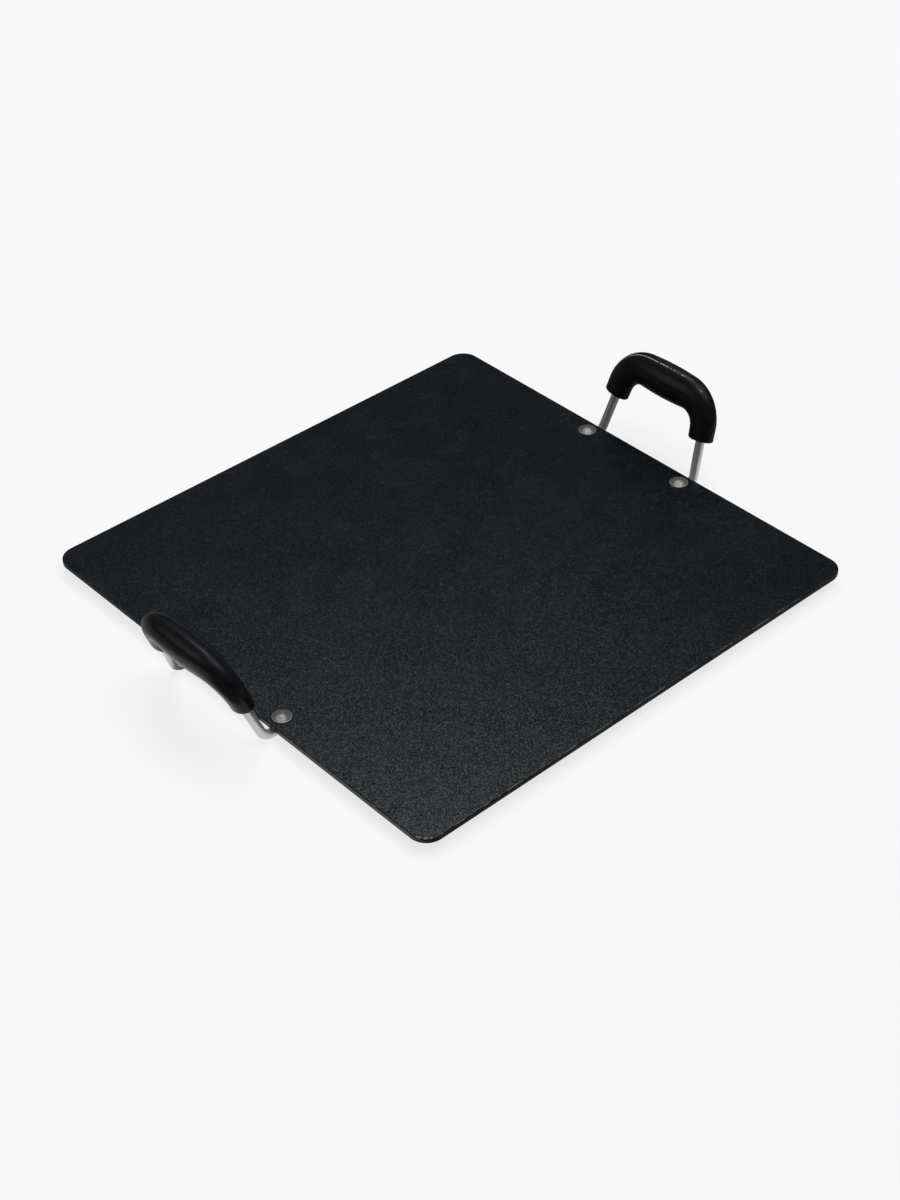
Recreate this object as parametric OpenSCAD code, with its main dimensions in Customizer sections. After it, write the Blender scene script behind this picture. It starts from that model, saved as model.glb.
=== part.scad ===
// Camp griddle plate: a flat coated plate with two loop handles riveted to opposite edges.
// Each handle is one bent steel rod with flattened ends, and a grip moulded over its cross bar.
// Millimetres. +Z is up, +X points to the right handle and -Y to the front edge.
// The origin lies on the surface that the part stands on, under the middle of the plate.

/* [Plate] */
// Length of the plate between the two edges that carry the handles
plate_length = 350; // [280:5:450]
// Width of the plate from front to back
plate_width = 350; // [200:5:450]
// Thickness of the plate
plate_thickness = 4; // [3:0.5:8]
// Radius of the four corners, seen from above
corner_radius = 12; // [4:1:40]
// Radius that breaks the arrises of both faces
arris_radius = 0.8; // [0.4:0.1:1.2]

/* [Handle rod] */
// Diameter of the round rod
rod_diameter = 6; // [5:0.5:8]
// Lean of each handle, outwards from upright, in degrees
handle_lean = 19.5; // [0:0.5:35]
// Slope of the two legs towards each other, in the plane of the handle, in degrees
leg_slope = 7.5; // [0:0.5:12]
// Height of the cross bar above the flattened ends, measured along the lean
bar_height = 55; // [46:1:80]
// Radius of the rod's centre line in the two bends under the grip
top_bend_radius = 20; // [15:1:26]
// Radius of the rod's centre line in the two bends below the plate's edge
foot_bend_radius = 7.5; // [6:0.5:14]
// Thickness of the flattened ends
tang_thickness = 3; // [2.4:0.1:4]
// Diameter of the round eye at the tip of each flattened end
eye_diameter = 11.5; // [10.6:0.1:13]
// Width of the flattened end beside the rivet, before it narrows to the rod
neck_width = 9.8; // [8:0.2:10.4]

/* [Grip] */
// Height of the grip's two ends above the flattened ends, measured along the lean
grip_end_height = 29.5; // [22:0.5:34]
// Width of the grip at its ends, in the plane of the handle
grip_end_width = 18.6; // [15:0.2:22]
// Depth of the grip at its ends, square to the plane of the handle
grip_end_depth = 12.8; // [11:0.2:18]
// Width of the grip at its middle, in the plane of the handle
grip_mid_width = 24; // [18:0.2:28]
// Depth of the grip at its middle, square to the plane of the handle
grip_mid_depth = 19.6; // [14:0.2:24]
// Radius that rounds the rims of the grip's two end faces
grip_end_radius = 1.6; // [0.5:0.1:2.5]

/* [Rivets] */
// Distance between the two rivets of one handle
rivet_span = 84; // [76:1:110]
// Distance of the rivets from the plate's edge
rivet_inset = 9; // [8.4:0.2:16]
// Diameter of the rivet's shank
shank_diameter = 5.5; // [4:0.1:6]
// Diameter of the domed head on the top face
head_diameter = 12; // [9:0.1:16]
// Height of the dome over the head's rim
head_dome = 1.9; // [1:0.1:3]
// Height of the upright rim under the dome
head_rim = 0.4; // [0.2:0.1:1]
// Greatest diameter of the upset tail under the flattened end
tail_diameter = 8; // [7:0.1:9]

/* [Clearances] */
// Gap between the grip's bore and the rod, all round
grip_gap = 0.1; // [0.05:0.05:0.3]
// Gap between a rivet's shank and its holes, all round
shank_gap = 0.05; // [0.02:0.01:0.2]
// Gap between the top of the round rod and the underside of the plate
rod_gap = 0.2; // [0.1:0.1:0.6]
// Distance that the rivet tails reach below the rods, so that the part stands on the tails
tail_stand = 0.2; // [0.1:0.1:1]
// Distance from a rivet's tail to the shoulder where the flattened end thickens
shoulder_gap = 0.3; // [0.1:0.1:1]

/* [Hidden] */
$fn = 64;

RIGHT = 1;
LEFT = -1;
BACK = 1;
FRONT = -1;
// Overshoot of a cut past the face that it leaves
cut = 1;
// A bend is this much fuller than the straight rod, which runs this far into it
bend_swell = 0.03;
run_in = 0.3;
// A flattened end bulges this far past the rod where it starts to widen
press_bulge = 0.1;

// Levels, from the standing surface up
plate_bottom = rod_diameter + rod_gap + tail_stand;
plate_top = plate_bottom + plate_thickness;
rod_level = plate_bottom - rod_gap - rod_diameter / 2;
tang_bottom = plate_bottom - tang_thickness;

// Rivets
rivet_x = plate_length / 2 - rivet_inset;
rivet_y = rivet_span / 2;
hole_diameter = shank_diameter + 2 * shank_gap;
dome_radius = (pow(head_diameter / 2, 2) + pow(head_dome, 2)) / (2 * head_dome);
tail_radius = tail_diameter / 2;

// Foot bend: it starts where the plate's lower arris turns up, and ends along the leg.
// The leg's tilt is its turn about X out of the bend that an upright leg would have.
bend_start = plate_length / 2 - arris_radius;
leg_tilt = atan2(sin(leg_slope), cos(handle_lean) * cos(leg_slope));
foot_turn = 90 - asin(sin(handle_lean) * cos(leg_slope));
foot_tangent = foot_bend_radius * tan(foot_turn / 2);
foot_x = bend_start + foot_tangent;

// Top bend and cross bar, in the plane of the handle
top_turn = 90 - leg_slope;
leg_length = (bar_height - top_bend_radius * (1 - cos(top_turn))) / sin(top_turn);
bar_half = rivet_y - top_bend_radius * sin(top_turn) - leg_length * cos(top_turn);

// Flattened end, measured outwards from the rivet: the shoulder, then a round stub up to the bend
stub_end = bend_start - rivet_x;
press_start = stub_end - run_in;
shoulder_start = tail_radius + shoulder_gap;
shoulder_end = stub_end - 3 * run_in;
shoulder_steps = 12;

// Grip: distances along the rod's centre line from the middle of the cross bar
bend_length = top_bend_radius * top_turn * PI / 180;
grip_half = bar_half + bend_length + leg_length - grip_end_height / sin(top_turn);
grip_sides = 40;
grip_steps = 40;
rim_steps = 4;

// A point of the rod's centre line in the plane of the handle, as [y, height], at distance s
function centre_line(s) =
    let (side = s < 0 ? -1 : 1, reach = abs(s))
    reach <= bar_half ? [s, bar_height]
    : let (turn = centre_turn(s),
           bend = [bar_half + top_bend_radius * sin(turn),
                   bar_height - top_bend_radius * (1 - cos(turn))],
           rest = max(0, reach - bar_half - bend_length))
      [side * (bend[0] + rest * cos(turn)), bend[1] - rest * sin(turn)];

// How far the centre line has turned down from the cross bar at distance s, in degrees
function centre_turn(s) =
    let (along = (abs(s) - bar_half) / top_bend_radius * 180 / PI)
    min(top_turn, max(0, along));

// A smooth step from 0 to 1
function ease(t) = t * t * (3 - 2 * t);

// Half of a size of the grip at distance s, from its value at the ends to that at the middle
function grip_half_size(s, at_end, at_middle) =
    (at_end + (at_middle - at_end) * ease(max(0, 1 - abs(s) / grip_half))) / 2;

// One oval ring of the grip at distance s, drawn in by the rounding of the end's rim
function grip_ring(s, drawn_in) =
    let (middle = centre_line(s),
         turn = (s < 0 ? -1 : 1) * centre_turn(s),
         across = grip_half_size(s, grip_end_width, grip_mid_width) - drawn_in,
         deep = grip_half_size(s, grip_end_depth, grip_mid_depth) - drawn_in)
    [for (i = [0 : grip_sides - 1])
        let (angle = 360 * i / grip_sides, outward = across * cos(angle))
        [deep * sin(angle), middle[0] + outward * sin(turn), middle[1] + outward * cos(turn)]];

// Places of the grip's rings, as [distance, drawn in]: a rounded rim at each end and even steps between
function grip_stations() =
    let (body = grip_half - grip_end_radius)
    [for (k = [0 : rim_steps - 1])
        let (t = 90 * k / rim_steps)
        [-grip_half + grip_end_radius * (1 - cos(t)), grip_end_radius * (1 - sin(t))],
     for (k = [0 : grip_steps])
        [-body + 2 * body * k / grip_steps, 0],
     for (k = [rim_steps - 1 : -1 : 0])
        let (t = 90 * k / rim_steps)
        [grip_half - grip_end_radius * (1 - cos(t)), grip_end_radius * (1 - sin(t))]];

// A closed skin over a row of rings that have the same number of points
module skin(rings) {
    rows = len(rings);
    sides = len(rings[0]);
    last = (rows - 1) * sides;
    walls = [for (r = [0 : rows - 2], i = [0 : sides - 1])
        let (a = r * sides + i, b = r * sides + (i + 1) % sides)
        each [[a, b + sides, b], [a, a + sides, b + sides]]];
    first_cap = [[for (i = [0 : sides - 1]) i]];
    last_cap = [[for (i = [sides - 1 : -1 : 0]) last + i]];
    polyhedron(points = [for (ring = rings) each ring], faces = concat(walls, first_cap, last_cap));
}

// The rim of the plate in section, from its corner's axis out to the edge, with both arrises rounded
module rim_section(reach) {
    flat = reach - arris_radius;
    square([flat, plate_thickness]);
    translate([0, arris_radius]) square([reach, plate_thickness - 2 * arris_radius]);
    for (level = [arris_radius, plate_thickness - arris_radius])
        translate([flat, level]) circle(arris_radius);
}

// A slab with rounded corners and arrises, standing on the plane z = 0
module rounded_slab(length, width) {
    straight = [length - 2 * corner_radius, width - 2 * corner_radius];
    translate([-straight[0] / 2, -straight[1] / 2, 0]) cube([straight[0], straight[1], plate_thickness]);
    for (quarter = [0 : 3]) {
        // In this quarter turn, the edge's own length and its distance from the middle
        along = straight[1 - quarter % 2];
        out = straight[quarter % 2] / 2;
        rotate([0, 0, 90 * quarter]) translate([out, along / 2, 0]) {
            rotate([90, 0, 0]) linear_extrude(along) rim_section(corner_radius);
            rotate_extrude(angle = 90) rim_section(corner_radius);
        }
    }
}

module griddle_plate() {
    color("#2a2b2d") difference() {
        translate([0, 0, plate_bottom]) rounded_slab(plate_length, plate_width);
        for (x = [LEFT, RIGHT], y = [FRONT, BACK])
            translate([x * rivet_x, y * rivet_y, plate_bottom - cut])
                cylinder(d = hole_diameter, h = plate_thickness + 2 * cut);
    }
}

// Places what is modelled for the right handle at either edge
module at_edge(side) {
    rotate([0, 0, side == RIGHT ? 0 : 180]) children();
}

// The leaning plane of the right handle: its Z runs up the lean, and its X faces outwards
module in_handle_plane() {
    translate([foot_x, 0, rod_level]) rotate([0, handle_lean, 0]) children();
}

// Both halves of what is modelled at the back leg
module both_legs() {
    children();
    mirror([0, 1, 0]) children();
}

// A bend of the rod about Z, from the X axis through an angle
module rod_bend(radius, turn, diameter) {
    rotate_extrude(angle = turn) translate([radius, 0]) circle(d = diameter + 2 * bend_swell);
}

// The cross bar, the top bends and the legs, as a round bar of the given diameter
module rod_loop(diameter) {
    in_handle_plane() {
        translate([0, -bar_half - run_in, bar_height]) rotate([-90, 0, 0])
            cylinder(d = diameter, h = 2 * (bar_half + run_in));
        both_legs() {
            translate([0, bar_half, bar_height - top_bend_radius]) rotate([90, 0, 90])
                rotate([0, 0, 90 - top_turn]) rod_bend(top_bend_radius, top_turn, diameter);
            translate([0, rivet_y, 0]) rotate([leg_slope, 0, 0]) translate([0, 0, foot_tangent - run_in])
                cylinder(d = diameter, h = leg_length - foot_tangent + 2 * run_in);
        }
    }
}

// The bend that carries a leg in below the plate's edge
module foot_bend() {
    translate([foot_x, rivet_y, rod_level]) rotate([leg_tilt, 0, 0])
        translate([-foot_tangent, 0, foot_bend_radius]) rotate([90, 0, 0]) rotate([0, 0, -90])
            rod_bend(foot_bend_radius, foot_turn, rod_diameter);
}

// The flattened end from above, with the rivet at the origin: a round eye on a neck that narrows to the rod
module tang_plan() {
    neck = neck_width / 2;
    tip = rod_diameter / 2 + press_bulge;
    circle(d = eye_diameter);
    polygon([[0, -neck], [press_start, -tip], [press_start, tip], [0, neck]]);
}

// The flattened end from the side: flat at the eye, with a shoulder that eases down to the full rod
module tang_side() {
    full_depth = rod_level - rod_diameter / 2 - press_bulge;
    shoulder = [for (k = [0 : shoulder_steps])
        let (t = k / shoulder_steps)
        [shoulder_start + (shoulder_end - shoulder_start) * t,
         tang_bottom + (full_depth - tang_bottom) * ease(t)]];
    flat = [[-eye_diameter, plate_bottom], [-eye_diameter, tang_bottom]];
    polygon(concat([[press_start, plate_bottom]], flat, shoulder, [[press_start, full_depth]]));
}

// A flattened end: the rod widens as a cone, and is pressed to the side and plan outlines
module flattened_end() {
    widening = press_start + eye_diameter;
    narrow = (rod_diameter - run_in) / 2;
    translate([rivet_x, rivet_y, 0]) {
        difference() {
            intersection() {
                linear_extrude(plate_top) tang_plan();
                translate([0, eye_diameter, 0]) rotate([90, 0, 0])
                    linear_extrude(2 * eye_diameter) tang_side();
                translate([press_start, 0, rod_level]) rotate([0, -90, 0])
                    cylinder(r1 = narrow, r2 = narrow + widening, h = widening);
            }
            translate([0, 0, tang_bottom - cut]) cylinder(d = hole_diameter, h = tang_thickness + 2 * cut);
        }
        translate([shoulder_end, 0, rod_level]) rotate([0, 90, 0])
            cylinder(d = rod_diameter, h = stub_end - shoulder_end + run_in);
    }
}

module handle_rod(side) {
    color("#d9dadc") at_edge(side) {
        rod_loop(rod_diameter);
        both_legs() {
            foot_bend();
            flattened_end();
        }
    }
}

module grip(side) {
    color("#1b1b1d") at_edge(side) difference() {
        in_handle_plane() skin([for (place = grip_stations()) grip_ring(place[0], place[1])]);
        rod_loop(rod_diameter + 2 * grip_gap);
    }
}

// A rivet: domed head on the plate, shank through plate and flattened end, upset tail below
module rivet(side, end) {
    tail_height = tang_bottom;
    color("#b9babb") translate([side * rivet_x, end * rivet_y, 0]) {
        translate([0, 0, plate_top]) intersection() {
            cylinder(d = head_diameter, h = head_rim + head_dome);
            translate([0, 0, head_rim + head_dome - dome_radius]) sphere(dome_radius);
        }
        translate([0, 0, tail_height / 2]) cylinder(d = shank_diameter, h = plate_top - tail_height / 2);
        intersection() {
            cylinder(d = tail_diameter, h = tail_height);
            translate([0, 0, tail_height / 2]) sphere(tail_radius);
        }
    }
}

griddle_plate();
handle_rod(RIGHT);  // right_handle_rod
handle_rod(LEFT);  // left_handle_rod
grip(RIGHT);  // right_grip
grip(LEFT);  // left_grip
rivet(RIGHT, FRONT);  // right_front_rivet
rivet(RIGHT, BACK);  // right_back_rivet
rivet(LEFT, FRONT);  // left_front_rivet
rivet(LEFT, BACK);  // left_back_rivet
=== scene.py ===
# %% [markdown]
# # A camp griddle plate, modelled and finished by hand
#
# The real object is a flat plate of coated metal. A bent steel rod stands up at two opposite edges, a
# dark grip is moulded over the top of each rod, and four rivets hold the rods' flattened ends under the
# plate. The measured solids come first, as a frame that never moves. Each piece is then modelled again in
# its place, with the soft edges, mould lines and wear that the solids leave out. Lengths are in metres,
# +Z is up, +X points to the right handle and -Y to the front edge.

# %% Load the measured solids
import math

import bmesh
import bpy
from mathutils import Matrix, Vector


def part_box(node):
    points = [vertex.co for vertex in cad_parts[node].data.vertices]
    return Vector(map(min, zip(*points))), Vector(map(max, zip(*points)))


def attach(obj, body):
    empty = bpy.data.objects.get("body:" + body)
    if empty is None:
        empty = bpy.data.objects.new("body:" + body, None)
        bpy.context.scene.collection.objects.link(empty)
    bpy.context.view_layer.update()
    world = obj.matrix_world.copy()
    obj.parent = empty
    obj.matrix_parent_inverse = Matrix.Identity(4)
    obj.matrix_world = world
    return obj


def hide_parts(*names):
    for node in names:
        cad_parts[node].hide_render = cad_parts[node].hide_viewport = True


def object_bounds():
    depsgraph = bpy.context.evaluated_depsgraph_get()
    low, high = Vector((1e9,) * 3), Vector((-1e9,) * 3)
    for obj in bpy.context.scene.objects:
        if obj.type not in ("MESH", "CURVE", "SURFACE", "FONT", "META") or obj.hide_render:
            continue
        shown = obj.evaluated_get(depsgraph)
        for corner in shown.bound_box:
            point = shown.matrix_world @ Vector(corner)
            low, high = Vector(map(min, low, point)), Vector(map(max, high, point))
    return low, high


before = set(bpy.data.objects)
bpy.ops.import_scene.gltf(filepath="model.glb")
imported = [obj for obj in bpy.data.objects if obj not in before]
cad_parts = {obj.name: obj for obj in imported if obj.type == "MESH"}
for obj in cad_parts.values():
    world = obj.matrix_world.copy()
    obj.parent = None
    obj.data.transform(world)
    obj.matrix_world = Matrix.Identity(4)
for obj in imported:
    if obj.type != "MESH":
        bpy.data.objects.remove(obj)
solid_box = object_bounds()
MM = 0.001
BODY = "root"


def in_mm(lengths):
    """Lengths in millimetres, rounded for printing."""
    return [round(length / MM, 2) for length in lengths]


print("solids:", len(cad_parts), "box mm:", in_mm(solid_box[1] - solid_box[0]))

# %% [markdown]
# ## The camera
#
# The photograph looks down at one corner from about 1.3 m, with a lens that is longer than normal. A
# camera could be placed by eye, but the plate is a known square, so its four corners in the picture fix
# the angle, the distance and the lens. The camera is then built from its own three directions: right, up
# and back.

# %% Camera at the photograph's angle
PHOTO_HEIGHT_PX = 1200
FOCAL_LENGTH_PX = 2145.4
SENSOR_SIDE_MM = 36
CAMERA_AZIMUTH = math.radians(-41.472)
CAMERA_ELEVATION = math.radians(38.807)
CAMERA_ROLL = math.radians(-1.307)
CAMERA_DISTANCE = 1341.8 * MM
CAMERA_TO_RIGHT = 1.68 * MM
CAMERA_TO_TOP = -20.88 * MM

plate_low, plate_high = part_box("griddle_plate")
level_back = Vector((math.sin(CAMERA_AZIMUTH), -math.cos(CAMERA_AZIMUTH), 0))
level_right = Vector((math.cos(CAMERA_AZIMUTH), math.sin(CAMERA_AZIMUTH), 0))
back = level_back * math.cos(CAMERA_ELEVATION) + Vector((0, 0, math.sin(CAMERA_ELEVATION)))
level_up = back.cross(level_right)
right = level_right * math.cos(CAMERA_ROLL) + level_up * math.sin(CAMERA_ROLL)
up = level_up * math.cos(CAMERA_ROLL) - level_right * math.sin(CAMERA_ROLL)
aim = Vector((0, 0, plate_low.z))

bpy.ops.object.camera_add()
camera = bpy.context.object
turned = Matrix((right, up, back)).transposed().to_4x4()
stand = aim + back * CAMERA_DISTANCE + right * CAMERA_TO_RIGHT + up * CAMERA_TO_TOP
camera.matrix_world = Matrix.Translation(stand) @ turned
camera.data.sensor_width = SENSOR_SIDE_MM
camera.data.lens = FOCAL_LENGTH_PX * SENSOR_SIDE_MM / PHOTO_HEIGHT_PX
bpy.context.scene.camera = camera
print("camera lens mm:", round(camera.data.lens, 2), "stands at m:", [round(c, 3) for c in stand])

# %% [markdown]
# ## Shader sums as plain expressions
#
# A finish is a small calculation: how far from the rim, how deep a scratch, how much wear. Wiring Math
# nodes by hand hides that. The class below wraps one socket, so that `1 - mask * 0.5` adds the Math nodes
# by itself. Every other kind of node comes from its `add` method: settings first, then the sockets.

# %% A socket that can be calculated with
class Wire:
    """One output socket of a node tree, with arithmetic that adds Math nodes."""

    def __init__(self, tree, socket):
        self.tree = tree
        self.socket = socket

    def add(self, kind, settings=None, inputs=None, output=0):
        """Add a node, set its settings and then its sockets, and give one of its outputs."""
        node = self.tree.nodes.new(kind)
        for name, value in (settings or {}).items():
            setattr(node, name, value)
        for name, value in (inputs or {}).items():
            feed(node.inputs[name], value)
        return Wire(self.tree, node.outputs[output])

    def other(self, output):
        """Another output of the same node."""
        return Wire(self.tree, self.socket.node.outputs[output])

    def math(self, operation, first, second=0.0):
        return self.add("ShaderNodeMath", {"operation": operation}, {0: first, 1: second})

    def __add__(self, other):
        return self.math("ADD", self, other)

    def __radd__(self, other):
        return self.math("ADD", other, self)

    def __sub__(self, other):
        return self.math("SUBTRACT", self, other)

    def __rsub__(self, other):
        return self.math("SUBTRACT", other, self)

    def __mul__(self, other):
        return self.math("MULTIPLY", self, other)

    def __rmul__(self, other):
        return self.math("MULTIPLY", other, self)

    def __abs__(self):
        return self.math("ABSOLUTE", self)

    def most(self, other):
        return self.math("MAXIMUM", self, other)

    def root(self):
        return self.math("SQRT", self)

    def rise(self, low, high):
        """A smooth step from 0 below low to 1 above high. It falls instead where low is the larger."""
        settings = {"interpolation_type": "SMOOTHSTEP", "clamp": True}
        ends = (0.0, 1.0) if low <= high else (1.0, 0.0)
        sockets = {0: self, 1: min(low, high), 2: max(low, high), 3: ends[0], 4: ends[1]}
        return self.add("ShaderNodeMapRange", settings, sockets)

    def vector(self, operation, other=(0, 0, 0)):
        return self.add("ShaderNodeVectorMath", {"operation": operation}, {0: self, 1: other})

    def distance(self, spot):
        return self.add("ShaderNodeVectorMath", {"operation": "DISTANCE"}, {0: self, 1: spot}, "Value")

    def noise(self, scale, detail=2.0, roughness=0.5):
        sockets = {"Vector": self, "Scale": scale, "Detail": detail, "Roughness": roughness}
        return self.add("ShaderNodeTexNoise", None, sockets)

    def cells(self, scale):
        return self.add("ShaderNodeTexVoronoi", None, {"Vector": self, "Scale": scale})

    def stretched(self, factors, angle=0.0):
        """These coordinates turned about Z and then scaled by a factor for each axis."""
        turned = self.add("ShaderNodeMapping", None, {"Vector": self, "Rotation": (0, 0, angle)})
        return turned.vector("MULTIPLY", factors)

    def split(self):
        parts = self.add("ShaderNodeSeparateXYZ", None, {0: self})
        return parts, parts.other(1), parts.other(2)

    def blend(self, colour_low, colour_high):
        """A colour that goes from one to the other as this wire goes from 0 to 1."""
        sockets = {0: self, 6: colour_low, 7: colour_high}
        return self.add("ShaderNodeMix", {"data_type": "RGBA"}, sockets, 2)


def feed(socket, value):
    """Link a wire to a socket, or set a plain value on it."""
    if isinstance(value, Wire):
        value.tree.links.new(value.socket, socket)
    else:
        socket.default_value = value


def hypotenuse(side, other_side):
    return (side * side + other_side * other_side).root()


def grey(level):
    return (level, level, level, 1.0)


def emptied_tree(owner):
    owner.use_nodes = True
    owner.node_tree.nodes.clear()
    return owner.node_tree


print("wires ready")

# %% [markdown]
# ## The studio
#
# Dark and polished things are lit by what they can see, so this studio is built for its reflections as
# much as for its light. The floor is pale, and its rim is raised to a wall far away, so that it is the
# background from all sides. It is lit like any surface and keeps the shadow. It also glows where the
# camera, a mirror or a lens looks at it, so that it shows as near white with no more light on the object.
#
# A photographer keeps black things crisp with black card, laid just out of the picture. Real cards would
# show from other sides, so here the glow is only dimmer at such places, and only in reflections. The room
# above is dim and even. One wide lamp hangs high, one hangs far behind the object, so that the sheen of
# the plate grows towards the near corner, and one fills in from the left.

# %% Floor material: white to the camera, with dark cards in reflections
FLOOR_COLOUR = grey(0.3)
FLOOR_GLOW = 0.757
POOL_EDGE = (3.0, 1.3)
SHARE_OUTSIDE_POOL = 0.2
WALL_FADE = (1.0, 0.2)
CARD_DARKNESS = 0.97
FRONT_CARD_START = (-0.165, -0.185)
FRONT_CARD_END = (-0.6, -0.4)
LEFT_CARD_SIDE = (-0.213, -0.223)
LEFT_CARD_BACK = (0.01, -0.03)
BACK_CARD_START = (0.055, 0.09)
BACK_CARD_SHARE = 0.85
GRIP_CARD_OUTER = (-0.188, -0.183)
GRIP_CARD_INNER = (-0.165, -0.175)
GRIP_CARD_MIDDLE = 0.008
GRIP_CARD_END = (0.04, 0.03)
FAR_CARD_START = (0.095, 0.125)

away = -level_back


def dark_cards(x, y):
    """One mask for all cards. An edge goes from where a card isn't yet to where it is full, in metres."""
    cards = y.rise(*FRONT_CARD_START) * y.rise(*FRONT_CARD_END)
    cards = cards.most(x.rise(*LEFT_CARD_SIDE) * y.rise(*LEFT_CARD_BACK))
    cards = cards.most(y.rise(*BACK_CARD_START) * BACK_CARD_SHARE)
    under_grip = x.rise(*GRIP_CARD_OUTER) * x.rise(*GRIP_CARD_INNER)
    cards = cards.most(under_grip * abs(y - GRIP_CARD_MIDDLE).rise(*GRIP_CARD_END))
    return cards.most((x * away.x + y * away.y).rise(*FAR_CARD_START))


def pale_floor():
    """White to the camera, a pool of light with dark cards to a mirror, and grey to all other light."""
    material = bpy.data.materials.new("pale_floor")
    tree = emptied_tree(material)
    camera_ray = Wire(tree, tree.nodes.new("ShaderNodeLightPath").outputs["Is Camera Ray"])
    mirrored = camera_ray.other("Is Glossy Ray").most(camera_ray.other("Is Transmission Ray"))
    place = Wire(tree, tree.nodes.new("ShaderNodeTexCoord").outputs["Object"])
    x, y, height = place.split()
    in_pool = place.distance((0, 0, 0)).rise(*POOL_EDGE)
    pool = SHARE_OUTSIDE_POOL + (1 - SHARE_OUTSIDE_POOL) * in_pool
    reflected = mirrored * pool * height.rise(*WALL_FADE) * (1 - dark_cards(x, y) * CARD_DARKNESS)
    seen = camera_ray.most(reflected)
    lit = seen.add("ShaderNodeBsdfDiffuse", None, {"Color": FLOOR_COLOUR})
    glow = seen.add("ShaderNodeEmission", None, {"Color": seen, "Strength": FLOOR_GLOW})
    surface = tree.nodes.new("ShaderNodeOutputMaterial").inputs["Surface"]
    feed(surface, seen.add("ShaderNodeAddShader", None, {0: lit, 1: glow}))
    return material


floor_material = pale_floor()
print("floor material nodes:", len(floor_material.node_tree.nodes))

# %% Floor: a disc with its rim raised to a wall
FLOOR_RADIUS = 20
FLOOR_SIDES = 96
WALL_HEIGHT = 8
FLOOR_DROP = 0.05 * MM

bpy.ops.object.select_all(action="DESELECT")
bpy.ops.mesh.primitive_circle_add(vertices=FLOOR_SIDES, radius=FLOOR_RADIUS, fill_type="NGON")
floor = bpy.context.object
floor.name = "floor"
bpy.ops.object.mode_set(mode="EDIT")
bpy.ops.mesh.select_mode(type="EDGE")
bpy.ops.mesh.select_all(action="SELECT")
bpy.ops.mesh.region_to_loop()
bpy.ops.mesh.extrude_region_move(TRANSFORM_OT_translate={"value": (0, 0, WALL_HEIGHT)})
bpy.ops.object.mode_set(mode="OBJECT")
floor.location.z = solid_box[0].z - FLOOR_DROP
floor.data.materials.append(floor_material)
print("floor radius m:", FLOOR_RADIUS, "faces with its wall:", len(floor.data.polygons))

# %% Dim room
ROOM_LEVEL = 0.12

world = bpy.data.worlds.new("studio")
bpy.context.scene.world = world
tree = emptied_tree(world)
background = tree.nodes.new("ShaderNodeBackground")
background.inputs["Color"].default_value = grey(1)
background.inputs["Strength"].default_value = ROOM_LEVEL
tree.links.new(background.outputs[0], tree.nodes.new("ShaderNodeOutputWorld").inputs["Surface"])
print("room level:", ROOM_LEVEL)

# %% Soft lamps
overhead = Vector((0, 0, 1))


def soft_lamp(name, place, side, radiance):
    """A square lamp of the given side that faces the object and looks equally bright from anywhere."""
    bpy.ops.object.light_add(type="AREA", location=place)
    lamp = bpy.context.object
    lamp.name = name
    lamp.rotation_euler = (aim - place).to_track_quat("-Z", "Y").to_euler()
    lamp.data.shape = "SQUARE"
    lamp.data.size = side
    lamp.data.energy = radiance * math.pi * side * side
    return lamp


# Places are in metres from the object: to the camera's right, away from the camera or towards it, and up.
lamps = [
    soft_lamp("high_lamp", level_right * 1.2 + overhead * 5, side=4.0, radiance=2.2),
    soft_lamp("far_lamp", away * 3.1 - level_right * 0.2 + overhead * 5, side=2.0, radiance=4.0),
    soft_lamp("side_lamp", level_back * 0.6 - level_right * 4 + overhead * 2.2, side=2.4, radiance=1.0),
]
bpy.context.scene.view_settings.view_transform = "Standard"
print("lamps W:", [round(lamp.data.energy) for lamp in lamps])

# %% [markdown]
# ## Hand tools
#
# Every piece starts as a primitive and is shaped with the same few moves: pick points or edges by their
# place, extrude a rim from ring to ring, press points down to a flat face, drill a hole, apply a
# modifier. They are short functions, so that each piece below reads as a list of steps.

# %% Take up, open and pick
def take_up(piece):
    """Select one piece alone and make it the active one."""
    bpy.ops.object.select_all(action="DESELECT")
    piece.select_set(True)
    bpy.context.view_layer.objects.active = piece


def settle():
    """Put the selected piece's place, turn and scale into its mesh."""
    bpy.ops.object.transform_apply(location=True, rotation=True, scale=True)


def new_piece(name, add_primitive, **shape):
    """Add a primitive with nothing else selected, and put its place into its mesh."""
    bpy.ops.object.select_all(action="DESELECT")
    add_primitive(**shape)
    piece = bpy.context.object
    piece.name = name
    piece.data.name = name
    settle()
    return piece


def copy_of(piece, name):
    """A copy with its own mesh."""
    take_up(piece)
    bpy.ops.object.duplicate(linked=False)
    copy = bpy.context.object
    copy.name = name
    copy.data.name = name
    return copy


def open_mesh(piece):
    """Enter edit mode on one piece, with all of it selected."""
    take_up(piece)
    bpy.ops.object.mode_set(mode="EDIT")
    bpy.ops.mesh.select_all(action="SELECT")


def close_mesh():
    bpy.ops.object.mode_set(mode="OBJECT")


def pick_points(piece, wanted):
    """Select only the points that pass a test of their place, and say how many they are."""
    bpy.ops.mesh.select_mode(type="VERT")
    bpy.ops.mesh.select_all(action="DESELECT")
    mesh = bmesh.from_edit_mesh(piece.data)
    for point in mesh.verts:
        point.select_set(bool(wanted(point.co)))
    mesh.select_flush_mode()
    bmesh.update_edit_mesh(piece.data)
    return sum(point.select for point in mesh.verts)


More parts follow.
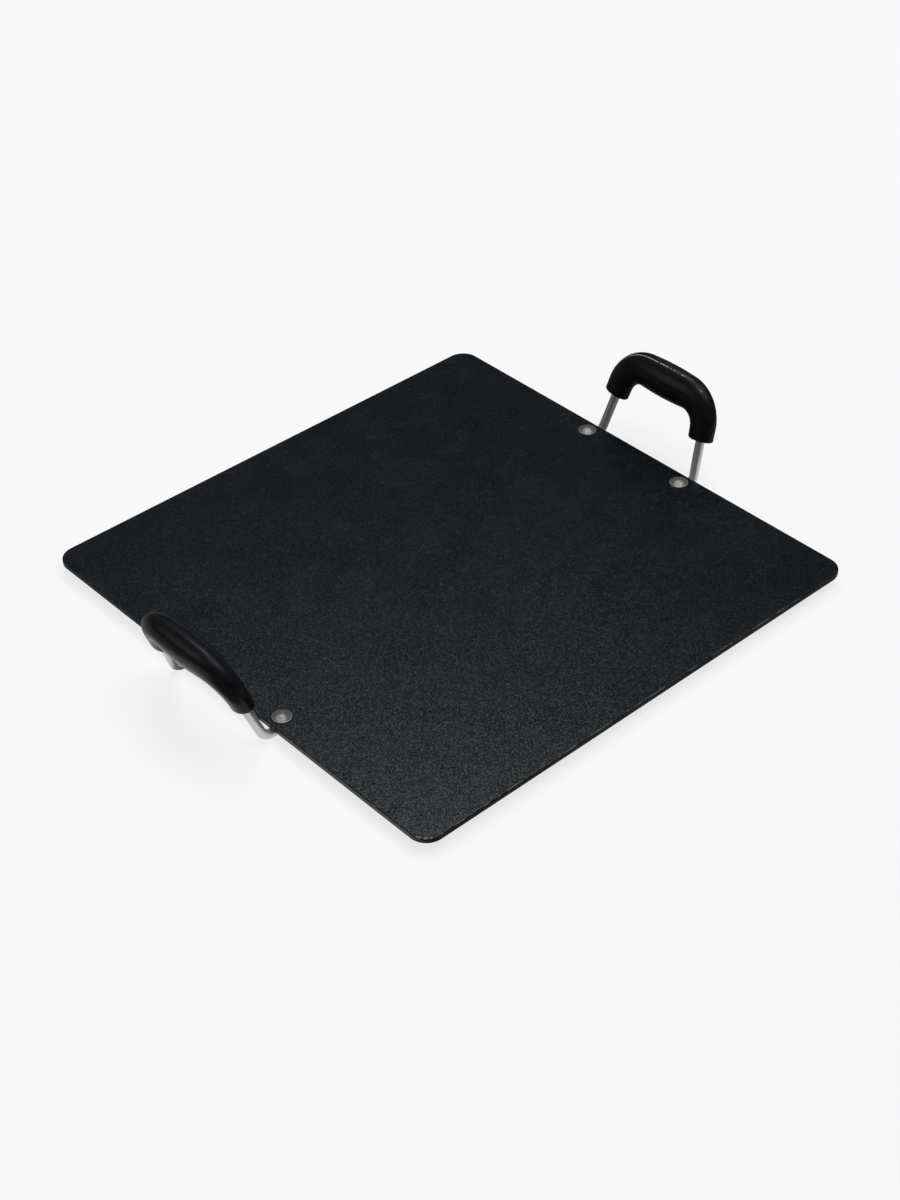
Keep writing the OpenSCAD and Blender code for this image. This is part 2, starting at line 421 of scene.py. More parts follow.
def pick_edges(piece, wanted):
    """Select only the edges whose two ends pass a test."""
    bpy.ops.mesh.select_mode(type="EDGE")
    bpy.ops.mesh.select_all(action="DESELECT")
    mesh = bmesh.from_edit_mesh(piece.data)
    for edge in mesh.edges:
        edge.select_set(bool(wanted(edge.verts[0].co, edge.verts[1].co)))
    mesh.select_flush_mode()
    bmesh.update_edit_mesh(piece.data)


print("ready to pick")

# %% Walk, turn, drill and clean
NEAR = 0.001 * MM
HOLE_SIDES = 48


def walk(rings):
    """Extrude the selected rim from ring to ring. A ring is a centre and a size along each axis."""
    for (here, size), (there, next_size) in zip(rings, rings[1:]):
        bpy.ops.mesh.extrude_region_move(TRANSFORM_OT_translate={"value": there - here})
        ratio = [after / before for before, after in zip(size, next_size)]
        bpy.ops.transform.resize(value=ratio, center_override=there)


def turn_rim(centre, start, end, steps):
    """Spin the selected rim round a bend, from one direction of travel to another."""
    angle = start.angle(end)
    bpy.ops.mesh.spin(steps=steps, angle=angle, center=centre, axis=end.cross(start).normalized())


def apply_modifier(piece, kind, **settings):
    take_up(piece)
    bpy.ops.object.modifier_add(type=kind)
    modifier = piece.modifiers[-1]
    for name, value in settings.items():
        setattr(modifier, name, value)
    bpy.ops.object.modifier_apply(modifier=modifier.name)


def drill(piece, place, diameter, depth):
    """Cut an upright hole with a drill bit that is then thrown away."""
    add = bpy.ops.mesh.primitive_cylinder_add
    bit = new_piece("drill_bit", add, vertices=HOLE_SIDES, radius=diameter / 2, depth=depth, location=place)
    apply_modifier(piece, "BOOLEAN", operation="DIFFERENCE", solver="EXACT", object=bit)
    bpy.data.objects.remove(bit)


def clean_mesh(piece):
    """Merge doubled points and turn every face outwards."""
    open_mesh(piece)
    bpy.ops.mesh.remove_doubles(threshold=NEAR)
    bpy.ops.mesh.normals_make_consistent(inside=False)
    close_mesh()


def smooth_by_angle(piece, degrees):
    take_up(piece)
    bpy.ops.object.shade_smooth_by_angle(angle=math.radians(degrees))


def box_error(piece, node):
    """How far a finished piece's box is from its solid's, in millimetres."""
    low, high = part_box(node)
    corners = [Vector(corner) for corner in piece.bound_box]
    reach = [(min(c[i] for c in corners) - low[i], max(c[i] for c in corners) - high[i]) for i in range(3)]
    return [tuple(round(gap / MM, 2) for gap in pair) for pair in reach]


def put_in_place(piece, node, material):
    """Let a finished piece ride on the frame and stand for its solid."""
    piece.data.materials.clear()
    piece.data.materials.append(material)
    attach(piece, BODY)
    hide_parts(node)
    print(piece.name, "faces:", len(piece.data.polygons), "box off by mm:", box_error(piece, node))


def copy_turned(piece, name):
    """A copy that is turned half round the upright axis, for the other edge of the plate."""
    copy = copy_of(piece, name)
    copy.rotation_euler.z = math.pi
    settle()
    return copy


print("hand tools ready")

# %% [markdown]
# ## The plate
#
# The plate is cut from sheet about 4 mm thick, its corners are rounded and its arrises are broken before
# it is coated. A cube with two bevels gives just that: first the four upright edges get the corner
# radius, then both outlines get the small arris. The rivet holes are drilled last. Weighted normals keep
# the wide faces dead flat while the arris still shades as a round.

# %% Plate: bevelled slab with drilled holes
CORNER_RADIUS = 12 * MM
CORNER_STEPS = 18
ARRIS_RADIUS = 0.8 * MM
ARRIS_STEPS = 6
HOLE_DIAMETER = 5.6 * MM
RIVETS = ("right_front_rivet", "right_back_rivet", "left_front_rivet", "left_back_rivet")

plate_size = plate_high - plate_low
plate_middle = (plate_low + plate_high) / 2
add_cube = bpy.ops.mesh.primitive_cube_add
plate = new_piece("griddle_plate_visual", add_cube, size=1, location=plate_middle, scale=plate_size)
open_mesh(plate)
pick_edges(plate, lambda a, b: abs(a.z - b.z) > plate_size.z / 2)
bpy.ops.mesh.bevel(offset=CORNER_RADIUS, segments=CORNER_STEPS, affect="EDGES")
pick_edges(plate, lambda a, b: abs(a.z - b.z) < plate_size.z / 2)
bpy.ops.mesh.bevel(offset=ARRIS_RADIUS, segments=ARRIS_STEPS, affect="EDGES")
close_mesh()

rivet_places = {}
for node in RIVETS:
    low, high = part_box(node)
    rivet_places[node] = (low + high) / 2
    hole = Vector((rivet_places[node].x, rivet_places[node].y, plate_middle.z))
    drill(plate, hole, HOLE_DIAMETER, 2 * plate_size.z)
clean_mesh(plate)
bpy.ops.object.shade_smooth()
apply_modifier(plate, "WEIGHTED_NORMAL", keep_sharp=True)
print("plate mm:", in_mm(plate_size), "points:", len(plate.data.vertices))

# %% [markdown]
# ## The handle rods
#
# Each handle is one length of round steel rod. Under the plate its end is pressed flat and pierced for a
# rivet, then it bends up round the plate's edge, runs up a sloping leg, bends over and crosses to the
# other leg. A bevelled curve would do for the round part, but not for the pressed ends. So one ring is
# extruded and spun along half of the rod, the same ring is drawn out and pressed flat the other way, and
# a mirror gives the rest. Each point of the first ring carries its place round the rod as an attribute.
# Extruding copies it, so the steel's grain can follow the rod.

# %% Rod: where it bends
ROD_DIAMETER = 6 * MM
ROD_GAP = 0.2 * MM
HANDLE_LEAN = math.radians(19.5)
LEG_SLOPE = math.radians(7.5)
BAR_HEIGHT = 55 * MM
TOP_BEND_RADIUS = 20 * MM
FOOT_BEND_RADIUS = 7.5 * MM

rivet_middle = rivet_places["right_back_rivet"]
rod_level = plate_low.z - ROD_GAP - ROD_DIAMETER / 2
bend_start = Vector((plate_high.x - ARRIS_RADIUS, rivet_middle.y, rod_level))
outwards = Vector((1, 0, 0))
across = Vector((0, -1, 0))
up_the_lean = Vector((math.sin(HANDLE_LEAN), 0, math.cos(HANDLE_LEAN)))
up_the_leg = up_the_lean * math.cos(LEG_SLOPE) + across * math.sin(LEG_SLOPE)

foot_turn = outwards.angle(up_the_leg)
foot_tangent = FOOT_BEND_RADIUS * math.tan(foot_turn / 2)
top_turn = up_the_leg.angle(across)
leg_length = (BAR_HEIGHT - TOP_BEND_RADIUS * (1 - math.cos(top_turn))) / math.sin(top_turn)
foot = bend_start + outwards * foot_tangent
leg_top = foot + up_the_leg * leg_length


def bend_centre(place, travel, next_travel, radius):
    """Centre of a bend that starts at a place and turns one direction of travel into the next."""
    inwards = next_travel - travel * next_travel.dot(travel)
    return place + inwards.normalized() * radius


print("foot turns deg:", round(math.degrees(foot_turn), 2), "leg mm:", round(leg_length / MM, 2))

# %% Rod: half of the loop
ROD_SIDES = 40
FOOT_BEND_STEPS = 14
TOP_BEND_STEPS = 18

add_circle = bpy.ops.mesh.primitive_circle_add
facing_x = (0, math.pi / 2, 0)
right_rod = new_piece("right_handle_rod_visual", add_circle, vertices=ROD_SIDES, radius=ROD_DIAMETER / 2,
                      location=bend_start, rotation=facing_x)
grain = right_rod.data.attributes.new("around", "FLOAT_VECTOR", "POINT")
for point, mark in zip(right_rod.data.vertices, grain.data):
    mark.vector = (point.co - bend_start) / (ROD_DIAMETER / 2)

open_mesh(right_rod)
foot_centre = bend_centre(bend_start, outwards, up_the_leg, FOOT_BEND_RADIUS)
turn_rim(foot_centre, outwards, up_the_leg, FOOT_BEND_STEPS)
leg_start = foot + up_the_leg * foot_tangent
bpy.ops.mesh.extrude_region_move(TRANSFORM_OT_translate={"value": leg_top - leg_start})
top_centre = bend_centre(leg_top, up_the_leg, across, TOP_BEND_RADIUS)
turn_rim(top_centre, up_the_leg, across, TOP_BEND_STEPS)
mesh = bmesh.from_edit_mesh(right_rod.data)
bar_end = max(point.co.y for point in mesh.verts if point.select)
bpy.ops.mesh.extrude_region_move(TRANSFORM_OT_translate={"value": (0, -bar_end, 0)})
print("bar half length mm:", round(bar_end / MM, 2))

# %% Rod: the pressed end
TANG_THICKNESS = 3 * MM
EYE_RADIUS = 5.75 * MM
NECK_HALF_WIDTH = 4.9 * MM
SHOULDER_START = 4.3 * MM
SHOULDER_END = 7.3 * MM
PRESSED_HALF_HEIGHT = 2.5 * MM
TIP_HALF_WIDTH = 0.3 * MM
STUB_STEPS = 16
EYE_STEPS = 12

stub = bend_start.x - rivet_middle.x
tang_bottom = plate_low.z - TANG_THICKNESS
tang_middle = plate_low.z - TANG_THICKNESS / 2
rod_bottom = rod_level - ROD_DIAMETER / 2


def ease(t):
    return t * t * (3 - 2 * t)


def pressed_share(out):
    """How far the rod has been pressed, from 0 to 1, at a distance outwards from the rivet."""
    return 1 - ease(min(1, max(0, (out - SHOULDER_START) / (SHOULDER_END - SHOULDER_START))))


def tang_ring(out):
    """Centre and size of the ring at a distance outwards from the rivet, before it is pressed."""
    share = pressed_share(out)
    eye = math.sqrt(max(0, EYE_RADIUS ** 2 - out ** 2))
    neck = NECK_HALF_WIDTH + (ROD_DIAMETER / 2 - NECK_HALF_WIDTH) * max(0, out) / stub
    half_width = max(eye, TIP_HALF_WIDTH) if out < 0 else max(eye, neck)
    half_height = ROD_DIAMETER / 2 + (PRESSED_HALF_HEIGHT - ROD_DIAMETER / 2) * share
    level = rod_level + (tang_middle - rod_level) * share
    return Vector((rivet_middle.x + out, rivet_middle.y, level)), (1, half_width, half_height)


def press_ring(piece, out):
    """Flatten one ring against the plate above it and the die below it."""
    x = rivet_middle.x + out
    die_level = rod_bottom + (tang_bottom - rod_bottom) * pressed_share(out)
    for level, side in ((die_level, -1), (plate_low.z, 1)):
        if pick_points(piece, lambda p: abs(p.x - x) < NEAR and side * (p.z - level) > 0):
            bpy.ops.transform.resize(value=(1, 1, 0), center_override=(0, 0, level))


stub_stops = [stub * (1 - k / STUB_STEPS) for k in range(STUB_STEPS + 1)]
eye_stops = [-EYE_RADIUS * math.sin(math.pi / 2 * k / EYE_STEPS) for k in range(1, EYE_STEPS + 1)]
tang_stops = stub_stops + eye_stops
pick_points(right_rod, lambda p: abs(p.x - bend_start.x) < NEAR)
walk([tang_ring(out) for out in tang_stops])
bpy.ops.mesh.edge_face_add()
for out in tang_stops[1:]:
    press_ring(right_rod, out)
close_mesh()
print("pressed end mm wide:", 2 * EYE_RADIUS / MM, "thick:", TANG_THICKNESS / MM)

# %% Rod: the other half, the eyes and the second handle
apply_modifier(right_rod, "MIRROR", use_axis=(False, True, False), merge_threshold=NEAR)
clean_mesh(right_rod)
for node in ("right_front_rivet", "right_back_rivet"):
    drill(right_rod, Vector((rivet_middle.x, rivet_places[node].y, tang_middle)), HOLE_DIAMETER, ROD_DIAMETER)
clean_mesh(right_rod)
smooth_by_angle(right_rod, degrees=35)
left_rod = copy_turned(right_rod, "left_handle_rod_visual")
print("rod points:", len(right_rod.data.vertices))

# %% [markdown]
# ## The grips
#
# Each grip is one dark moulding over the top of its rod, oval in section, fullest in the middle and
# slimmer at both ends. The two halves of the mould met near the crest, where they left a thin raised
# line. A second line, further over, isn't raised: it marks where the right grip has been scuffed. A grip
# could be lofted ring by ring in place. It is easier to draw it as a straight bar, where widths, rounded
# rims and both lines are plain to set, and then to bend it along the rod's own centre line with a Curve
# modifier.

# %% Grip: the rod's centre line as a path
GRIP_END_HEIGHT = 29.5 * MM
PATH_STEPS = 64

bend_length = TOP_BEND_RADIUS * top_turn
grip_half = bar_end + bend_length + leg_length - GRIP_END_HEIGHT / math.sin(top_turn)


def centre_line(s):
    """Place and direction on the rod, in the handle's own plane, at a distance from the middle of its bar."""
    side = -1 if s < 0 else 1
    turn = min(top_turn, max(0, (abs(s) - bar_end) / TOP_BEND_RADIUS))
    rest = max(0, abs(s) - bar_end - bend_length)
    along = min(abs(s), bar_end) + TOP_BEND_RADIUS * math.sin(turn) + rest * math.cos(turn)
    height = BAR_HEIGHT - TOP_BEND_RADIUS * (1 - math.cos(turn)) - rest * math.sin(turn)
    return Vector((side * along, height, 0)), Vector((math.cos(turn), -side * math.sin(turn), 0))


bpy.ops.object.select_all(action="DESELECT")
bpy.ops.curve.primitive_bezier_curve_add()
path = bpy.context.object
path.data.dimensions = "2D"
path.data.resolution_u = PATH_STEPS
path_stops = [-grip_half, -bar_end - bend_length, -bar_end, bar_end, bar_end + bend_length, grip_half]
bend_reach = 4 / 3 * math.tan(top_turn / 4) * TOP_BEND_RADIUS
straight_reach = (grip_half - bar_end - bend_length) / 3
bar_reach = 2 * bar_end / 3
path_reaches = [straight_reach, bend_reach, bar_reach, bend_reach, straight_reach]
knots = path.data.splines[0].bezier_points
knots.add(len(path_stops) - len(knots))
for index, (knot, s) in enumerate(zip(knots, path_stops)):
    place, travel = centre_line(s)
    knot.handle_left_type = "FREE"
    knot.handle_right_type = "FREE"
    knot.co = place
    knot.handle_left = place - travel * path_reaches[max(0, index - 1)]
    knot.handle_right = place + travel * path_reaches[min(index, len(path_reaches) - 1)]
print("grip mm along its rod:", round(2 * grip_half / MM, 2))

# %% Grip: a straight bar, ring by ring
GRIP_SIDES = 48
GRIP_STEPS = 56
RIM_STEPS = 6
GRIP_END = (9.3 * MM, 6.4 * MM)
GRIP_MIDDLE = (12 * MM, 9.8 * MM)
GRIP_RIM_RADIUS = 1.6 * MM
BORE_RADIUS = 3.1 * MM


def grip_ring(s, drawn_in):
    """Centre and size of the ring at a distance from the middle, drawn in by the rounding of the rim."""
    share = ease(max(0, 1 - abs(s) / grip_half))
    sizes = [end + (middle - end) * share - drawn_in for end, middle in zip(GRIP_END, GRIP_MIDDLE)]
    return Vector((grip_half + s, 0, 0)), (1, *sizes)


rim_turns = [math.pi / 2 * k / RIM_STEPS for k in range(RIM_STEPS)]
first_rim = []
for t in rim_turns:
    along = GRIP_RIM_RADIUS * (1 - math.cos(t)) - grip_half
    first_rim.append((along, GRIP_RIM_RADIUS * (1 - math.sin(t))))
last_rim = [(-s, drawn_in) for s, drawn_in in reversed(first_rim)]
body_half = grip_half - GRIP_RIM_RADIUS
body = [(body_half * (2 * k / GRIP_STEPS - 1), 0) for k in range(GRIP_STEPS + 1)]
bore_size = (1, BORE_RADIUS, BORE_RADIUS)
bore_start = (Vector((0, 0, 0)), bore_size)
bore_end = (Vector((2 * grip_half, 0, 0)), bore_size)


def on_bore_rim(a, b):
    """Whether an edge lies on the rim of the bore, at either end of the straight grip."""
    in_bore = BORE_RADIUS + NEAR
    return abs(a.x - b.x) < NEAR and a.yz.length < in_bore and b.yz.length < in_bore


right_grip = new_piece("right_grip_visual", add_circle, vertices=GRIP_SIDES, radius=BORE_RADIUS,
                       rotation=facing_x)
open_mesh(right_grip)
walk([bore_start] + [grip_ring(*stop) for stop in first_rim + body + last_rim] + [bore_end])
pick_edges(right_grip, on_bore_rim)
bpy.ops.mesh.bridge_edge_loops(number_cuts=GRIP_STEPS)
print("straight grip rings:", len(first_rim + body + last_rim))

# %% Grip: the mould line, the bend and the second grip
MOULD_LINE_TURN = math.radians(-7.5)
SCUFF_TURN = math.radians(-30)
SCUFF_HALF_WIDTH = 0.4 * MM
MOULD_LINE_HALF_WIDTH = 0.35 * MM
MOULD_LINE_HEIGHT = 0.08 * MM
SAME_TURN = 0.015

line_start = GRIP_RIM_RADIUS - NEAR
line_end = 2 * grip_half - line_start


def on_line(p, line_turn):
    """Whether a point of the straight grip lies on the lengthwise line at a turn from the crest."""
    _, (_, half_across, half_deep) = grip_ring(p.x - grip_half, 0)
    turn = math.atan2(p.z / half_deep, p.y / half_across)
    outside = p.yz.length > 2 * BORE_RADIUS and line_start < p.x < line_end
    return outside and abs(turn - line_turn) < SAME_TURN


def mark_line(name, line_turn, half_width, height):
    """Split a lengthwise line into three, raise its middle and mark it with an attribute."""
    open_mesh(right_grip)
    pick_edges(right_grip, lambda a, b: on_line(a, line_turn) and on_line(b, line_turn))
    bpy.ops.mesh.bevel(offset=half_width, segments=2, affect="EDGES")
    marked = pick_points(right_grip, lambda p: on_line(p, line_turn))
    upwards = Vector((0, math.cos(line_turn), math.sin(line_turn)))
    bpy.ops.transform.translate(value=upwards * height)
    close_mesh()
    attribute = right_grip.data.attributes.new(name, "FLOAT", "POINT")
    for point, mark in zip(right_grip.data.vertices, attribute.data):
        mark.value = float(point.select)
    print("points on", name, marked)


close_mesh()
mark_line("scuff", SCUFF_TURN, SCUFF_HALF_WIDTH, 0)
mark_line("mould_line", MOULD_LINE_TURN, MOULD_LINE_HALF_WIDTH, MOULD_LINE_HEIGHT)
clean_mesh(right_grip)
apply_modifier(right_grip, "CURVE", object=path, deform_axis="POS_X")
bpy.data.objects.remove(path)
handle_origin = Vector((foot.x, 0, rod_level))
along_bar = Vector((0, 1, 0))
handle_axes = Matrix((along_bar, up_the_lean, along_bar.cross(up_the_lean))).transposed()
right_grip.matrix_world = Matrix.Translation(handle_origin) @ handle_axes.to_4x4()
settle()
clean_mesh(right_grip)
smooth_by_angle(right_grip, degrees=40)
left_grip = copy_turned(right_grip, "left_grip_visual")
print("grip points:", len(right_grip.data.vertices))

# %% [markdown]
# ## The rivets
#
# A rivet is set from below: its domed head sits on the cooking face, the shank fills the holes, and the
# tail is hammered to a short barrel. It is a turned shape, so one small ring is walked from the middle of
# the tail to the top of the dome. Setting leaves dents in the soft metal. They could be painted on, but
# real dents catch the light from every side. So a Displace modifier moves the dome alone, and each rivet
# has its own dents.

# %% Rivets: the turned profile
SHANK_RADIUS = 2.75 * MM
HEAD_RADIUS = 6 * MM
HEAD_RIM = 0.4 * MM
HEAD_DOME = 1.9 * MM
TAIL_RADIUS = 4 * MM
POLE_RADIUS = 0.1 * MM
RIM_UNDERCUT = 0.22 * MM
TAIL_STEPS = 10
UNDERCUT_STEPS = 3
DOME_STEPS = 14

dome_radius = (HEAD_RADIUS ** 2 + HEAD_DOME ** 2) / (2 * HEAD_DOME)
dome_centre = plate_high.z + HEAD_RIM + HEAD_DOME - dome_radius
dome_turn = math.asin(HEAD_RADIUS / dome_radius)
tail_turn = math.asin(tang_bottom / 2 / TAIL_RADIUS)
tail_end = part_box(RIVETS[0])[0].z

profile = [(POLE_RADIUS, tail_end)]
for k in range(TAIL_STEPS + 1):
    t = tail_turn * (2 * k / TAIL_STEPS - 1)
    profile.append((TAIL_RADIUS * math.cos(t), tang_bottom / 2 + TAIL_RADIUS * math.sin(t)))
profile.append((SHANK_RADIUS, tang_bottom))
profile.append((SHANK_RADIUS, plate_high.z))
for k in range(UNDERCUT_STEPS + 1):
    t = math.pi / 2 * k / UNDERCUT_STEPS
    rim_radius = HEAD_RADIUS - RIM_UNDERCUT * (1 - math.sin(t))
    profile.append((rim_radius, plate_high.z + RIM_UNDERCUT * (1 - math.cos(t))))
for k in range(DOME_STEPS):
    t = dome_turn * (1 - k / DOME_STEPS)
    profile.append((dome_radius * math.sin(t), dome_centre + dome_radius * math.cos(t)))
profile.append((POLE_RADIUS, dome_centre + dome_radius))
print("rings of a rivet:", len(profile))

# %% Rivets: walked, copied and dented
RIVET_SIDES = 48
DENT_SIZE = 2.2 * MM
DENT_DEPTH = 0.18 * MM
DENT_MIDDLE = 0.85

first_rivet = RIVETS[0]
axis = Vector((rivet_places[first_rivet].x, rivet_places[first_rivet].y, 0))
rivet = new_piece(first_rivet + "_visual", add_circle, vertices=RIVET_SIDES, radius=POLE_RADIUS,
                  location=axis + Vector((0, 0, tail_end)), fill_type="NGON")
open_mesh(rivet)
pick_points(rivet, lambda p: True)
walk([(axis + Vector((0, 0, z)), (radius, radius, 1)) for radius, z in profile])
close_mesh()
clean_mesh(rivet)

rivets = {first_rivet: rivet}
for node in RIVETS[1:]:
    rivets[node] = copy_of(rivet, node + "_visual")
    rivets[node].location = rivet_places[node] - rivet_places[first_rivet]
    settle()

dents = bpy.data.textures.new("hammer_dents", "CLOUDS")
dents.noise_scale = DENT_SIZE
for piece in rivets.values():
    dome = piece.vertex_groups.new(name="dome")
    dome_start = plate_high.z + HEAD_RIM + NEAR
    dome.add([p.index for p in piece.data.vertices if p.co.z > dome_start], 1, "REPLACE")
    apply_modifier(piece, "DISPLACE", texture=dents, texture_coords="LOCAL", direction="Z",
                   mid_level=DENT_MIDDLE, strength=DENT_DEPTH, vertex_group="dome")
    smooth_by_angle(piece, degrees=35)
print("rivets:", len(rivets), "points each:", len(rivet.data.vertices))

# %% [markdown]
# ## The black coating
#
# The plate has a sprayed and baked coating: nearly black, a little blue, with a fine pebbled skin and
# small pale flecks. Each pebble is a facet with its own slight tilt, so it catches the light or misses
# it, which a smooth bump would blur. Scrapers have left faint scratches, the near edges are rubbed, a few
# scrapes on the front arris carry a painted highlight, and the near corner is chipped to bare metal. There
# are some dark pits, and a ring of painted shade lies round each rivet, where its head meets the plate. An
# image could hold all this, but it would stretch over the edges. So it is worked out in millimetres on the
# plate's own coordinates. The distance to the outline is a short formula, and it puts the wear where hands
# and the stove touch.

# %% A material to start from
def new_finish(name, fixed):
    """A material with one shader, its fixed values set, and its piece's coordinates in millimetres."""
    material = bpy.data.materials.new(name)
    tree = emptied_tree(material)
    shader = tree.nodes.new("ShaderNodeBsdfPrincipled")
    for socket, value in fixed.items():
        shader.inputs[socket].default_value = value
    tree.links.new(shader.outputs[0], tree.nodes.new("ShaderNodeOutputMaterial").inputs["Surface"])
    place = Wire(tree, tree.nodes.new("ShaderNodeTexCoord").outputs["Object"])
    return material, shader.inputs, place.stretched((1 / MM, 1 / MM, 1 / MM))


def relief(height, depth, normal=None):
    """A Bump node's normal for a height from 0 to 1 that is worth a depth in metres."""
    sockets = {"Strength": 1.0, "Distance": depth, "Height": height}
    if normal:
        sockets["Normal"] = normal
    return height.add("ShaderNodeBump", None, sockets)


print("finish helpers ready")

# %% Coating: wear and dark spots
# Chips and pits are places in millimetres from the near corner of the top face.
CORNER_CHIPS = ((1.1, 7.9, -0.3), (1.8, 6.4, -0.2), (4.1, 3.7, -0.3), (6.4, 1.8, -0.3))
CHIP_EDGE = (0.75, 0.35)
PITS = ((2.4, 32.4, 0), (13.8, 18.6, 0), (11.0, 55.0, 0))
PIT_EDGE = (1.2, 0.5)
NEAR_STRIP = (7.0, 2.0)
FAR_RUB_SHARE = 0.2
# Where the scrapes with their painted highlight on the front arris end, in millimetres along X.
SCRAPE_AND_HIGHLIGHT_END = (150.0, 110.0)

half_side = plate_size.x / 2 / MM
top_face = plate_high.z / MM
near_corner = Vector((-half_side, -half_side, top_face))
head = HEAD_RADIUS / MM


def inside_outline(x, y):
    """How far inside the rounded outline a point near the rim lies, in millimetres."""
    corner = CORNER_RADIUS / MM
    out_x = (abs(x) - (half_side - corner)).most(0.0)
    out_y = (abs(y) - (half_side - corner)).most(0.0)
    return corner - hypotenuse(out_x, out_y)


def arris_wear(place):
    """Masks for the upper arris: chips, rubbed stretches, and scrapes with a painted highlight along the
    front.
    """
    x, y, z = place.split()
    inside = inside_outline(x, y)
    arris = inside.rise(1.1, 0.25) * z.rise(top_face - 1.2, top_face - 0.4)
    chips = arris * place.noise(0.22, 3.0, 0.7).rise(0.66, 0.72)
    for inset in CORNER_CHIPS:
        chips = chips.most(place.distance(near_corner + Vector(inset)).rise(*CHIP_EDGE))
    strip = [inset - half_side for inset in NEAR_STRIP]
    front = y.rise(*strip)
    near_edges = front.most(x.rise(*strip))
    touched = FAR_RUB_SHARE + (1 - FAR_RUB_SHARE) * near_edges
    rubbed = arris * place.noise(0.06, 4.0, 0.65).rise(0.35, 0.7) * touched
    crest = inside.rise(0.65, 0.5) * z.rise(top_face - 0.45, top_face - 0.3)
    # Scraped stretches along the crest of the front arris, lightened as a painted highlight.
    scrapes_and_highlight = crest * place.noise(0.09, 3.0, 0.7).rise(0.45, 0.6) * front * x.rise(*SCRAPE_AND_HIGHLIGHT_END)
    return chips, rubbed, scrapes_and_highlight


def pits_and_rivet_shade(place):
    """One mask for the painted shade round the rivet heads and the pits near the front corner."""
    x, y, _ = place.split()
    from_rivet = hypotenuse(abs(x) - rivet_middle.x / MM, abs(y) - rivet_middle.y / MM)
    # A dark ring round each rivet head: painted contact shade where the head meets the plate.
    pits_and_shade = from_rivet.rise(head + 1.2, head + 0.3)
    for inset in PITS:
        pits_and_shade = pits_and_shade.most(place.distance(near_corner + Vector(inset)).rise(*PIT_EDGE))
    return pits_and_shade


print("chips:", len(CORNER_CHIPS), "pits:", len(PITS))

# %% Coating: black and speckled
COAT_GLOSS = {"IOR": 1.335, "Specular Tint": (0.92, 0.98, 1.0, 1)}
COAT_COOL = ((0.0008, 0.0029, 0.0058, 1), (0.0028, 0.0062, 0.0102, 1))
COAT_WARM = ((0.0018, 0.0034, 0.0054, 1), (0.0044, 0.0066, 0.0090, 1))
FLECK_COLOUR = (0.11, 0.112, 0.112, 1)
SCRATCH_COLOUR = grey(0.09)
BAKED_COLOUR = (0.016, 0.014, 0.008, 1)
RUBBED_COLOUR = (0.075, 0.074, 0.072, 1)
# Colour of the front arris scrapes, light enough to stand for a painted highlight.
SCRAPE_AND_HIGHLIGHT_COLOUR = (0.30, 0.30, 0.295, 1)
# Colour of the pits and of the painted shade round the rivet heads.
PIT_AND_SHADE_COLOUR = grey(0.0008)
BARE_METAL = (0.42, 0.41, 0.39, 1)
PEBBLES_PER_MM = 1.5
PEBBLE_TILT = 0.115


def black_speckled_coat():
    material, shader, place = new_finish("black_speckled_coat", COAT_GLOSS)
    x, y, _ = place.split()
    pebble_pick = place.cells(PEBBLES_PER_MM).other("Color")
    pebbles = pebble_pick.split()[1]
    clouds = place.noise(0.035, 4.0, 0.6)
    fleck_cells = place.cells(0.75)
    fleck_pick = fleck_cells.other("Color").split()[0]
    flecks = fleck_pick.rise(0.86, 0.97) * fleck_cells.rise(0.34, 0.12)
    scratch_field = place.stretched((0.012, 0.42, 0.012), math.radians(24)).noise(1.0, 3.0, 0.55)
    scratches = abs(scratch_field - 0.5).rise(0.006, 0.0) * clouds.rise(0.5, 0.66)
    baked = inside_outline(x, y).rise(7.0, 0.5) * clouds.rise(0.4, 0.65)
    chips, rubbed, scrapes_and_highlight = arris_wear(place)
    pits_and_shade = pits_and_rivet_shade(place)

    cool = pebbles.blend(*COAT_COOL)
    warm = pebbles.blend(*COAT_WARM)
    colour = clouds.rise(0.35, 0.75).blend(cool, warm)
    colour = (flecks * 0.5).blend(colour, FLECK_COLOUR)
    colour = (scratches * 0.4).blend(colour, SCRATCH_COLOUR)
    colour = (baked * 0.3).blend(colour, BAKED_COLOUR)
    colour = (rubbed * 0.55).blend(colour, RUBBED_COLOUR)
    # The front arris scrapes, with their painted highlight.
    colour = (scrapes_and_highlight * 0.55).blend(colour, SCRAPE_AND_HIGHLIGHT_COLOUR)
    # The pits, and the painted shade round the rivet heads.
    colour = pits_and_shade.blend(colour, PIT_AND_SHADE_COLOUR)
    feed(shader["Base Color"], chips.blend(colour, BARE_METAL))
    uneven = (pebbles - 0.5) * 0.06 + (clouds - 0.5) * 0.12
    feed(shader["Roughness"], 0.26 + uneven - flecks * 0.06 + pits_and_shade * 0.6)

    tilt = pebble_pick.vector("SUBTRACT", (0.5, 0.5, 0.5)).vector("MULTIPLY", (PEBBLE_TILT,) * 3)
    facing = place.add("ShaderNodeNewGeometry", None, None, "Normal")
    pebbled = facing.vector("ADD", tilt).vector("NORMALIZE")
    feed(shader["Normal"], relief(flecks * 0.3 - scratches * 0.3, 0.2 * MM, pebbled))
    return material


coat = black_speckled_coat()
put_in_place(plate, "griddle_plate", coat)

# %% [markdown]
# ## Drawn steel, black moulding and rivet metal
#
# Drawn rod shows fine lines along its length, so its grain reads the attribute that was carried round the
# bends. The moulding is a hard black plastic, satin from the mould. Its raised line is rubbed a little
# paler, and a light, broken scuff runs along the right grip only, with a painted glint near its front end.
# The rivets are soft dull metal, cloudy, with a brighter rim and a ragged painted highlight on the front
# left of each head. Images would show seams at the bends, so all three are worked out from noise on the
# piece's own coordinates.

